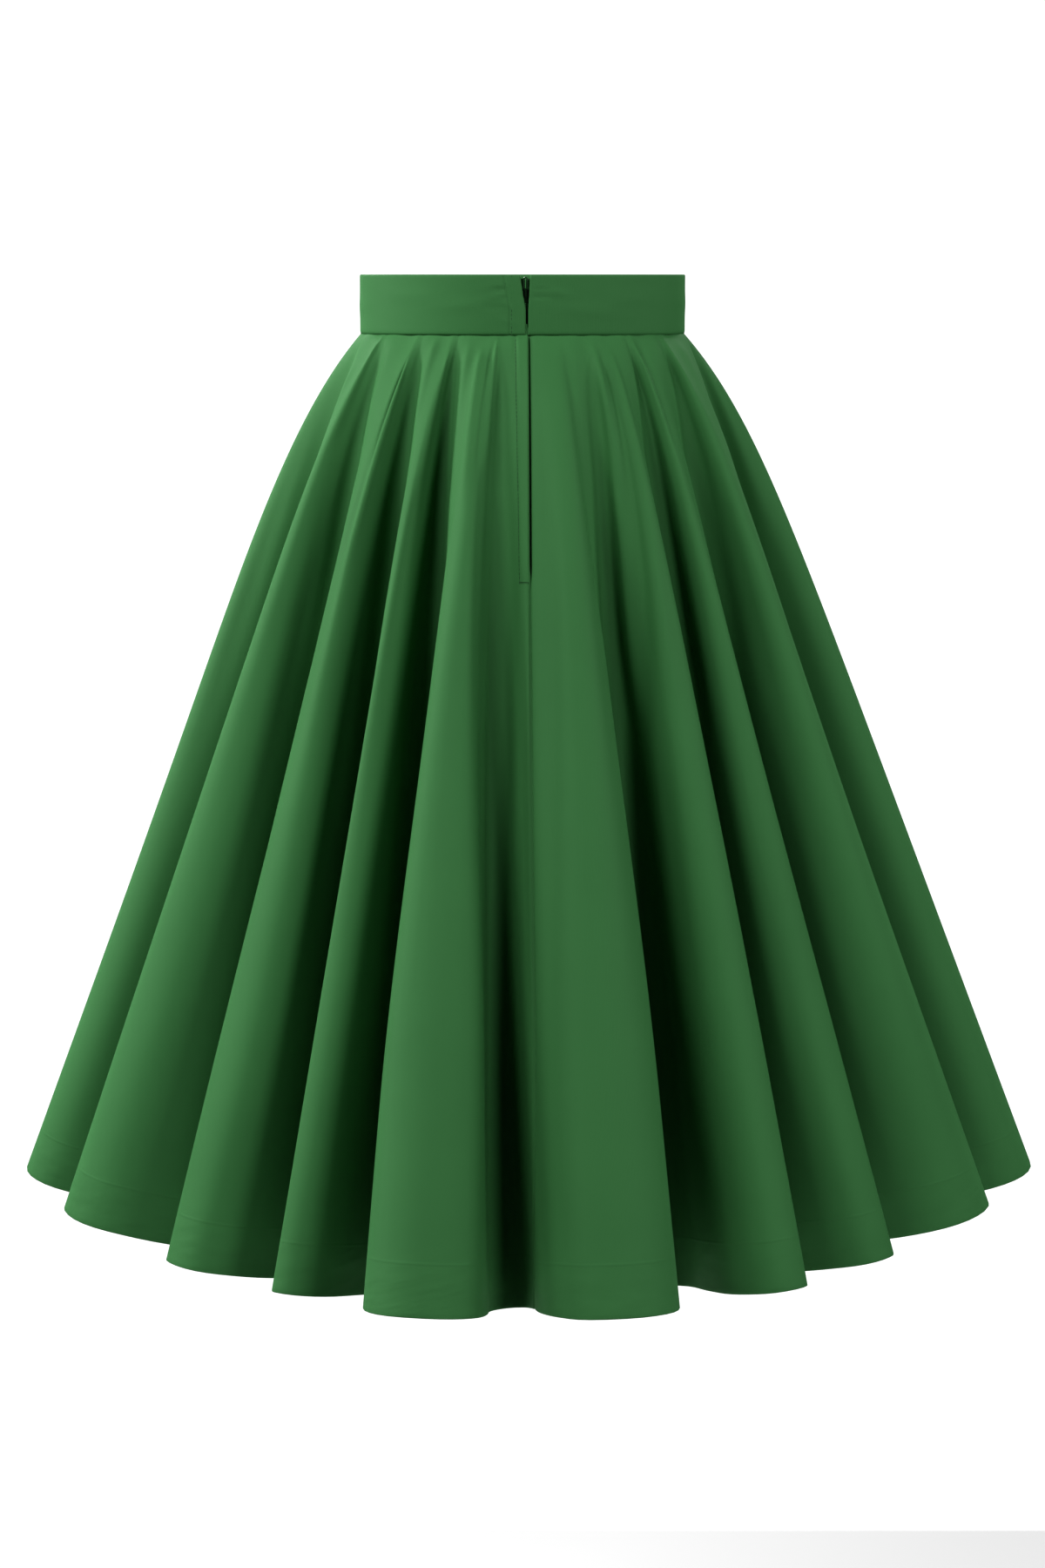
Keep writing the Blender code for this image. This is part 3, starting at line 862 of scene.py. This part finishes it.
# %% Waistband
BAND_WALL = 0.0022
BAND_CLOTH = 0.0007
BAND_COLUMNS = 300
BAND_END_CROWDING = 0.88
BAND_ROWS = 22
NOTCH_LEFT_TOP = -0.0018
NOTCH_LEFT_FOOT = 0.0024
NOTCH_RIGHT_TOP = 0.0055
NOTCH_RIGHT_FOOT = 0.0040
NOTCH_HEIGHT = 0.025
BAND_END = 0.0014
BAND_FOOT_TURN = 0.0006
BAND_LAP_STITCH = -0.0078
BAND_GROOVE = 0.0005
BAND_GROOVE_WIDTH = 0.0010
BAND_FOOT_PRESSED = 0.55
FOLD_STEPS = 7

# Sizes in millimetres, from the middle of the closing (+X right) and from the band's top.
Wrinkle = namedtuple("Wrinkle", "x down long wide tilt height")
WRINKLES = (
    Wrinkle(-12.5, 11.0, 7.0, 1.0, 10.0, -0.55),
    Wrinkle(-14.0, 7.5, 9.0, 1.5, -8.0, 0.45),
    Wrinkle(-13.0, 14.0, 9.0, 1.8, -14.0, 0.40),
    Wrinkle(-20.0, 23.0, 9.0, 1.6, 4.0, -0.30),
    Wrinkle(-9.0, 21.5, 5.0, 1.4, 30.0, 0.35),
    Wrinkle(13.0, 10.8, 8.0, 0.9, 2.0, -0.55),
    Wrinkle(11.5, 15.6, 7.0, 0.9, 3.0, -0.65),
    Wrinkle(12.0, 13.2, 8.0, 1.0, 0.0, 0.50),
    Wrinkle(22.0, 12.0, 12.0, 2.4, 14.0, 0.45),
    Wrinkle(-42.0, 22.0, 26.0, 4.0, -4.0, 0.35),
    Wrinkle(48.0, 26.0, 28.0, 4.5, 5.0, 0.35),
    Wrinkle(-80.0, 15.0, 24.0, 5.0, 3.0, 0.30),
    Wrinkle(86.0, 18.0, 26.0, 5.0, -4.0, 0.30),
    Wrinkle(-10.0, 33.0, 7.0, 1.8, 15.0, 0.30),
    Wrinkle(150.0, 20.0, 40.0, 6.0, 4.0, 0.35),
    Wrinkle(-170.0, 24.0, 40.0, 6.0, -5.0, 0.35),
    Wrinkle(250.0, 18.0, 36.0, 6.0, 6.0, 0.30),
    Wrinkle(-260.0, 20.0, 36.0, 6.0, 3.0, 0.30),
)


def band_section():
    """(z, depth) of every row of the band: up the outer face, over the fold, down the inner face."""
    half = BAND_WALL / 2
    outer = [(z, 0.0) for z in np.linspace(-BAND_HEIGHT, -half, BAND_ROWS)]
    angles = np.linspace(0, math.pi, FOLD_STEPS + 1)[1:-1]
    fold = [(half * (math.sin(a) - 1), half * (1 - math.cos(a))) for a in angles]
    inner = [(z, BAND_WALL) for z in np.linspace(-half, -BAND_HEIGHT, BAND_ROWS // 2)]
    return outer + fold + inner


def notch_edge(z, top, foot):
    """The x of a band end at a height. The notch between the two ends narrows downwards."""
    return top + (foot - top) * min(1.0, -z / NOTCH_HEIGHT)


def turn_at(x):
    """The azimuth, near the centre back, of the waist's point at an x."""
    return np.arctan2(x, WAIST_DEPTH / 2)


def band_place(turn, z, depth):
    """A point of the waist's ellipse at a height, moved a depth inwards along its normal."""
    x, y = polar(turn, waist_radius(turn))
    normal = unit(np.stack([x / (WAIST_WIDTH / 2) ** 2, y / (WAIST_DEPTH / 2) ** 2], axis=-1))
    x = x - normal[..., 0] * depth
    y = y - normal[..., 1] * depth
    return np.stack([x, y, np.broadcast_to(z, x.shape)], axis=-1)


def wrinkle_heights(along, down):
    """How far the drag wrinkles lift the band, in metres."""
    lift = np.zeros_like(along)
    for w in WRINKLES:
        tilt = math.radians(w.tilt)
        x = along * 1000 - w.x
        z = down * 1000 - w.down
        run = (x * math.cos(tilt) + z * math.sin(tilt)) / w.long
        side = (z * math.cos(tilt) - x * math.sin(tilt)) / w.wide
        lift += w.height / 1000 * np.exp(-(run**2) - side**2)
    return lift


def rounded(distance, size):
    """A quarter round's height, from 0 at its edge to 1 at its size and beyond."""
    return np.sqrt(1 - (1 - np.clip(distance / size, 0.0, 1.0)) ** 2)


def band_grid():
    """The band's rows, from its outer foot over the fold to its inner foot."""
    middle = BAND_WALL / 2
    even = np.linspace(0.0, 1.0, BAND_COLUMNS)
    share = even - BAND_END_CROWDING * np.sin(2 * np.pi * even) / (2 * np.pi)
    rows = []
    for z, depth in band_section():
        start = turn_at(notch_edge(z, NOTCH_RIGHT_TOP, NOTCH_RIGHT_FOOT))
        end = 2 * math.pi + turn_at(notch_edge(z, NOTCH_LEFT_TOP, NOTCH_LEFT_FOOT))
        turn = start + (end - start) * share
        line = band_place(turn, z, 0.0)
        run = np.concatenate([[0.0], np.cumsum(np.linalg.norm(np.diff(line, axis=0), axis=-1))])
        from_end = np.minimum(run, run[-1] - run)
        close = rounded(from_end, BAND_END)
        foot = rounded(z + BAND_HEIGHT, BAND_FOOT_TURN) if depth == 0.0 else 1.0
        full = BAND_FOOT_PRESSED + (1 - BAND_FOOT_PRESSED) * foot
        deep = middle + (depth - middle) * close * full
        along = np.where(turn < math.pi, run, run - run[-1]) + CLOSING_X
        outer = max(0.0, 1 - depth / middle)
        groove = BAND_GROOVE * np.exp(-(((along - BAND_LAP_STITCH) / BAND_GROOVE_WIDTH) ** 2))
        deep = deep - outer * (wrinkle_heights(along, np.full_like(along, -z)) - groove)
        rows.append(band_place(turn, z, deep))
    return np.array(rows)


band_points = band_grid()[::-1]
waistband = cloth_piece("waist_band", [band_points], BAND_CLOTH, band_cloth)
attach(waistband, "skirt")
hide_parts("waistband")
print("band:", band_points.shape[:2], "points")

# %% [markdown]
# ## The zip's tapes
#
# Two woven tapes hold the coil behind the closing. They follow the cloth: every row of a tape is
# taken from a panel's own row, at set distances from the seam, and moved inwards. In the band they
# lie behind its inner face. Their woven edges almost meet in the middle, so nothing shows through
# the slit. They could be swept along a path, but then they would cut the cloth where the flutes
# begin.

# %% Zip tapes
ZIP_SHIFT = 0.0013
ZIP_FOOT = 0.262
TAPE_TOP = -0.003
TAPE_INNER_EDGE = 0.0004
TAPE_OUTER_EDGE = 0.0150
TAPE_DEPTH = 0.0034
TAPE_WALL = 0.0004
TAPE_COLUMNS = 9
TAPE_ROWS_IN_BAND = 12


def beside(points, distances, depth, side):
    """Rows of points at distances from the closing on one panel, moved a depth inwards."""
    normals = grid_normals(points)
    if side < 0:
        points = points[:, ::-1]
        normals = normals[:, ::-1]
    run = run_across(points)
    rows = []
    for row in range(len(points)):
        line = [np.interp(distances, run[row], points[row, :, axis]) for axis in range(3)]
        inward = [np.interp(distances, run[row], normals[row, :, axis]) for axis in range(3)]
        rows.append(np.array(line).T - np.array(inward).T * depth)
    return np.array(rows)


def behind_closing(distances, depth, side, top):
    """Rows behind the closing, from a height in the band down to the zip's foot."""
    panel = smooth_left if side < 0 else smooth_right
    foot = int(np.argmax(LEVEL > ZIP_FOOT))
    turn = turn_at(CLOSING_X + side * distances)
    heights = np.linspace(top, -BAND_HEIGHT + 0.001, TAPE_ROWS_IN_BAND)
    band = [band_place(turn, z, depth) for z in heights]
    return np.concatenate([np.array(band), beside(panel, distances, depth, side)[1:foot]])


def zip_tape(name, side, node):
    """The woven tape on the left (-1) or the right (1) of the coil."""
    edges = np.linspace(TAPE_INNER_EDGE, TAPE_OUTER_EDGE, TAPE_COLUMNS) - side * ZIP_SHIFT
    rows = behind_closing(edges, TAPE_DEPTH, side, TAPE_TOP)
    if side < 0:
        rows = rows[:, ::-1]
    made = cloth_piece(name, [rows], TAPE_WALL, tape_cloth)
    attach(made, "skirt")
    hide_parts(node)
    return made


# The tapes' colour is painted shade: much darker than the cloth, for the shadow in the slit.
zip_tape("tape_left", -1, "zip_tape_left")
zip_tape("tape_right", 1, "zip_tape_right")
print("tapes down to level", ZIP_FOOT)

# %% [markdown]
# ## One thing repeated along a path
#
# Stitches and zip teeth are the same job: a small rounded piece, again and again along a line.
# An array could do it, and Geometry Nodes does it with the path as its input: the line is resampled
# at a spacing, and a stretched sphere is put at every point, along the line for a stitch or across
# it for a tooth. The nodes end with Realize Instances, so the piece is a plain mesh.

# %% Geometry Nodes for stitches and teeth
PARTS_AROUND = 8
PARTS_ALONG = 6


def repeat_tree():
    """Input: a path. A rounded piece of a length and width stands at every spacing along it."""
    tree = bpy.data.node_groups.new("repeat along a path", "GeometryNodeTree")
    tree.interface.new_socket("Geometry", in_out="INPUT", socket_type="NodeSocketGeometry")
    for name in ("Spacing", "Length", "Width", "Across"):
        tree.interface.new_socket(name, in_out="INPUT", socket_type="NodeSocketFloat")
    tree.interface.new_socket("Material", in_out="INPUT", socket_type="NodeSocketMaterial")
    tree.interface.new_socket("Geometry", in_out="OUTPUT", socket_type="NodeSocketGeometry")
    start = tree.nodes.new("NodeGroupInput")
    end = tree.nodes.new("NodeGroupOutput")
    curve = tree.nodes.new("GeometryNodeMeshToCurve")
    points = tree.nodes.new("GeometryNodeResampleCurve")
    points.mode = "LENGTH"
    ball_sizes = {"Segments": PARTS_AROUND, "Rings": PARTS_ALONG, "Radius": 0.5}
    ball = add_node(tree, "GeometryNodeMeshUVSphere", ball_sizes)
    smooth = tree.nodes.new("GeometryNodeSetShadeSmooth")
    size = tree.nodes.new("ShaderNodeCombineXYZ")
    stretch = tree.nodes.new("GeometryNodeTransform")
    tangent = tree.nodes.new("GeometryNodeInputTangent")
    facing = add_node(tree, "ShaderNodeMix", data_type="VECTOR")
    facing.inputs["B"].default_value = (1.0, 0.0, 0.0)
    align = add_node(tree, "FunctionNodeAlignEulerToVector", axis="Z")
    place = tree.nodes.new("GeometryNodeInstanceOnPoints")
    real = tree.nodes.new("GeometryNodeRealizeInstances")
    paint = tree.nodes.new("GeometryNodeSetMaterial")
    for source, target in (
        (start.outputs["Geometry"], curve.inputs["Mesh"]),
        (curve.outputs["Curve"], points.inputs["Curve"]),
        (start.outputs["Spacing"], points.inputs["Length"]),
        (start.outputs["Width"], size.inputs["X"]),
        (start.outputs["Width"], size.inputs["Y"]),
        (start.outputs["Length"], size.inputs["Z"]),
        (ball.outputs["Mesh"], smooth.inputs["Geometry"]),
        (smooth.outputs["Geometry"], stretch.inputs["Geometry"]),
        (size.outputs["Vector"], stretch.inputs["Scale"]),
        (tangent.outputs["Tangent"], facing.inputs["A"]),
        (start.outputs["Across"], facing.inputs["Factor"]),
        (facing.outputs["Result"], align.inputs["Vector"]),
        (points.outputs["Curve"], place.inputs["Points"]),
        (stretch.outputs["Geometry"], place.inputs["Instance"]),
        (align.outputs["Rotation"], place.inputs["Rotation"]),
        (place.outputs["Instances"], real.inputs["Geometry"]),
        (real.outputs["Geometry"], paint.inputs["Geometry"]),
        (start.outputs["Material"], paint.inputs["Material"]),
        (paint.outputs["Geometry"], end.inputs["Geometry"]),
    ):
        tree.links.new(source, target)
    return tree


REPEAT = repeat_tree()
print(len(REPEAT.nodes), "nodes repeat a piece along a path")


def repeated(name, paths, spacing, length, width, material, across=0.0):
    """A finished mesh of small rounded pieces along one or more paths."""
    points = [tuple(p) for path in paths for p in path]
    edges = []
    first = 0
    for path in paths:
        edges += [(first + i, first + i + 1) for i in range(len(path) - 1)]
        first += len(path)
    mesh = bpy.data.meshes.new(name + " path")
    mesh.from_pydata(points, edges, [])
    source = bpy.data.objects.new(name + " path", mesh)
    bpy.context.scene.collection.objects.link(source)
    nodes = source.modifiers.new("repeat", "NODES")
    nodes.node_group = REPEAT
    sizes = {"Spacing": spacing, "Length": length, "Width": width, "Across": across}
    sizes["Material"] = material
    for item in REPEAT.interface.items_tree:
        if item.in_out == "INPUT" and item.name in sizes:
            nodes[item.identifier] = sizes[item.name]
    shape = source.evaluated_get(bpy.context.evaluated_depsgraph_get())
    finished = bpy.data.meshes.new_from_object(shape)
    finished.name = name
    bpy.data.objects.remove(source, do_unlink=True)
    made = bpy.data.objects.new(name, finished)
    bpy.context.scene.collection.objects.link(made)
    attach(made, "skirt")
    print(name, len(finished.polygons), "faces")
    return made


# %% [markdown]
# ## Coil, slider and pull
#
# The coil runs down the middle of the tapes on their inner side, a tooth every 1.2 mm, behind the
# lapped edge. The slider and the pull are hard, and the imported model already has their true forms,
# so they are kept and only painted. The pull stays on its own body, so it can still swing.

# %% Coil and slider
TOOTH_PITCH = 0.0012
TOOTH_LENGTH = 0.0046
TOOTH_WIDTH = 0.0009
COIL_TOP = -0.0200
COIL_DEPTH = TAPE_DEPTH + 0.0006

# The coil takes the tapes' dark green, which is painted shade.
left_mid = behind_closing(np.array([ZIP_SHIFT]), COIL_DEPTH, -1, COIL_TOP)[:, 0]
teeth = repeated("coil", [left_mid], TOOTH_PITCH, TOOTH_LENGTH, TOOTH_WIDTH, coil, across=1.0)
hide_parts("zip_chain")

for node in ("zip_slider", "zip_pull"):
    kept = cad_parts[node]
    kept.data.materials.clear()
    kept.data.materials.append(metal)

# %% [markdown]
# ## The stitching that shows
#
# One row of topstitching holds the lap down, 8.8 mm from its fold, from the top of the band to the
# foot of the zip. There a bar tack of three short rows runs from the stitching to the fold, and it
# closes the slit. The hem is blind-stitched, so only its faint line shows, and the material has that.

# %% Topstitching and bar tack
STITCH_SPACING = 0.0030
STITCH_LENGTH = 0.0024
STITCH_WIDTH = 0.00055
STITCH_LIFT = 0.00005
STITCH_TOP = -0.0015
BAND_POINTS = 24
TACK_ROWS = 3
TACK_GAP = 0.0006
TACK_INNER = 0.0015
TACK_SPACING = 0.0013
TACK_POINTS = 12


def on_lap(distances):
    """Rows of points on the outer face of the left back, at distances from its fold."""
    return beside(left_cloth, np.array(distances), -STITCH_LIFT, -1)


def band_line():
    """The stitching's line up the band, half way down the groove that it lies in."""
    turn = np.array([turn_at(BAND_LAP_STITCH)])
    depth = BAND_GROOVE / 2 - STITCH_LIFT
    heights = np.linspace(STITCH_TOP, -BAND_HEIGHT, BAND_POINTS)
    return np.array([band_place(turn, z, depth)[0] for z in heights])


lap_foot = int(np.argmax(LEVEL > LAP_FOOT))
lap_line = on_lap([LAP_STITCH])[1 : lap_foot + 1, 0]
tack_line = on_lap(np.linspace(TACK_INNER, LAP_STITCH, TACK_POINTS))[lap_foot]
tacks = [tack_line - np.array([0.0, 0.0, row * TACK_GAP]) for row in range(TACK_ROWS)]
lap_lines = [band_line(), lap_line]
stitches = repeated("lap_stitches", lap_lines, STITCH_SPACING, STITCH_LENGTH, STITCH_WIDTH, thread)
bar = repeated("bar_tack", tacks, TACK_SPACING, TACK_SPACING, STITCH_WIDTH, thread)
lap_length = float(run_up(lap_line[:, None])[0, 0])
print("the lap's stitching is", round(lap_length, 3), "m long below the band")

# %% [markdown]
# ## Light, floor and background
#
# Nine square lamps stand in a ring round the skirt, soft but small enough to leave the hollows dark.
# The strongest is at the left, just past the skirt's side, and rakes across the flutes. A weak one
# beside it and two higher ones light the faces that look to the left, three on the right keep that
# side readable, and two on the far side light the garment's front. The world gives the cloth no
# light and is white for the camera, which a Light Path switch does in one world. The floor is pale
# and plain, and far below.

# %% Light and floor
# Azimuths and elevations are in degrees, and powers are in watts.
Lamp = namedtuple("Lamp", "azimuth elevation power")
LAMPS = (
    Lamp(-100, 20, 46),
    Lamp(-75, 20, 13),
    Lamp(-55, 45, 25),
    Lamp(-35, 45, 20),
    Lamp(35, 20, 20),
    Lamp(60, 20, 8),
    Lamp(85, 20, 17),
    Lamp(-150, 40, 38),
    Lamp(150, 40, 22),
)
LAMP_DISTANCE = 2.8
LAMP_SIZE = 0.6
AMBIENT = 0.0
FLOOR_HEIGHT = -1.5
FLOOR_REACH = 1.2
AIM = Vector((0.0, 0.0, -0.35))


def add_lamp(name, lamp):
    """A square lamp at its azimuth and elevation, turned to face the skirt."""
    turn = math.radians(lamp.azimuth)
    rise = math.radians(lamp.elevation)
    flat = math.cos(rise)
    away = Vector((math.sin(turn) * flat, -math.cos(turn) * flat, math.sin(rise)))
    data = bpy.data.lights.new(name, "AREA")
    data.shape = "SQUARE"
    data.size = LAMP_SIZE
    data.energy = lamp.power
    made = bpy.data.objects.new(name, data)
    made.location = AIM + away * LAMP_DISTANCE
    made.rotation_euler = (-away).to_track_quat("-Z", "Y").to_euler()
    bpy.context.scene.collection.objects.link(made)
    return made


def white_world(ambient):
    """A world that the camera sees as white, and that gives the cloth an ambient light."""
    world = bpy.data.worlds.new("studio")
    world.use_nodes = True
    tree = world.node_tree
    dim = tree.nodes["Background"]
    dim.inputs["Color"].default_value = (1.0, 1.0, 1.0, 1.0)
    dim.inputs["Strength"].default_value = ambient
    white = add_node(tree, "ShaderNodeBackground", {"Color": (1.0, 1.0, 1.0, 1.0), "Strength": 1.0})
    path = tree.nodes.new("ShaderNodeLightPath")
    mix = tree.nodes.new("ShaderNodeMixShader")
    tree.links.new(path.outputs["Is Camera Ray"], mix.inputs[0])
    tree.links.new(dim.outputs[0], mix.inputs[1])
    tree.links.new(white.outputs[0], mix.inputs[2])
    tree.links.new(mix.outputs[0], tree.nodes["World Output"].inputs["Surface"])
    bpy.context.scene.world = world


def add_floor():
    """A plain square, far enough below to throw no shadow on the cloth."""
    low, high = -FLOOR_REACH, FLOOR_REACH
    corners = [(x, y, FLOOR_HEIGHT) for x, y in ((low, low), (high, low), (high, high), (low, high))]
    mesh = bpy.data.meshes.new("floor")
    mesh.from_pydata(corners, [], [(0, 1, 2, 3)])
    mesh.materials.append(pale)
    made = bpy.data.objects.new("floor", mesh)
    bpy.context.scene.collection.objects.link(made)
    return made


for index, lamp in enumerate(LAMPS):
    add_lamp(f"lamp_{index}", lamp)
white_world(AMBIENT)
pale, _ = new_material("pale floor", (0.8, 0.8, 0.8), 0.9, 0.1)
floor = add_floor()
bpy.context.scene.view_settings.view_transform = "Standard"
bpy.context.scene.view_settings.look = "Medium High Contrast"
print(len(LAMPS), "lamps")
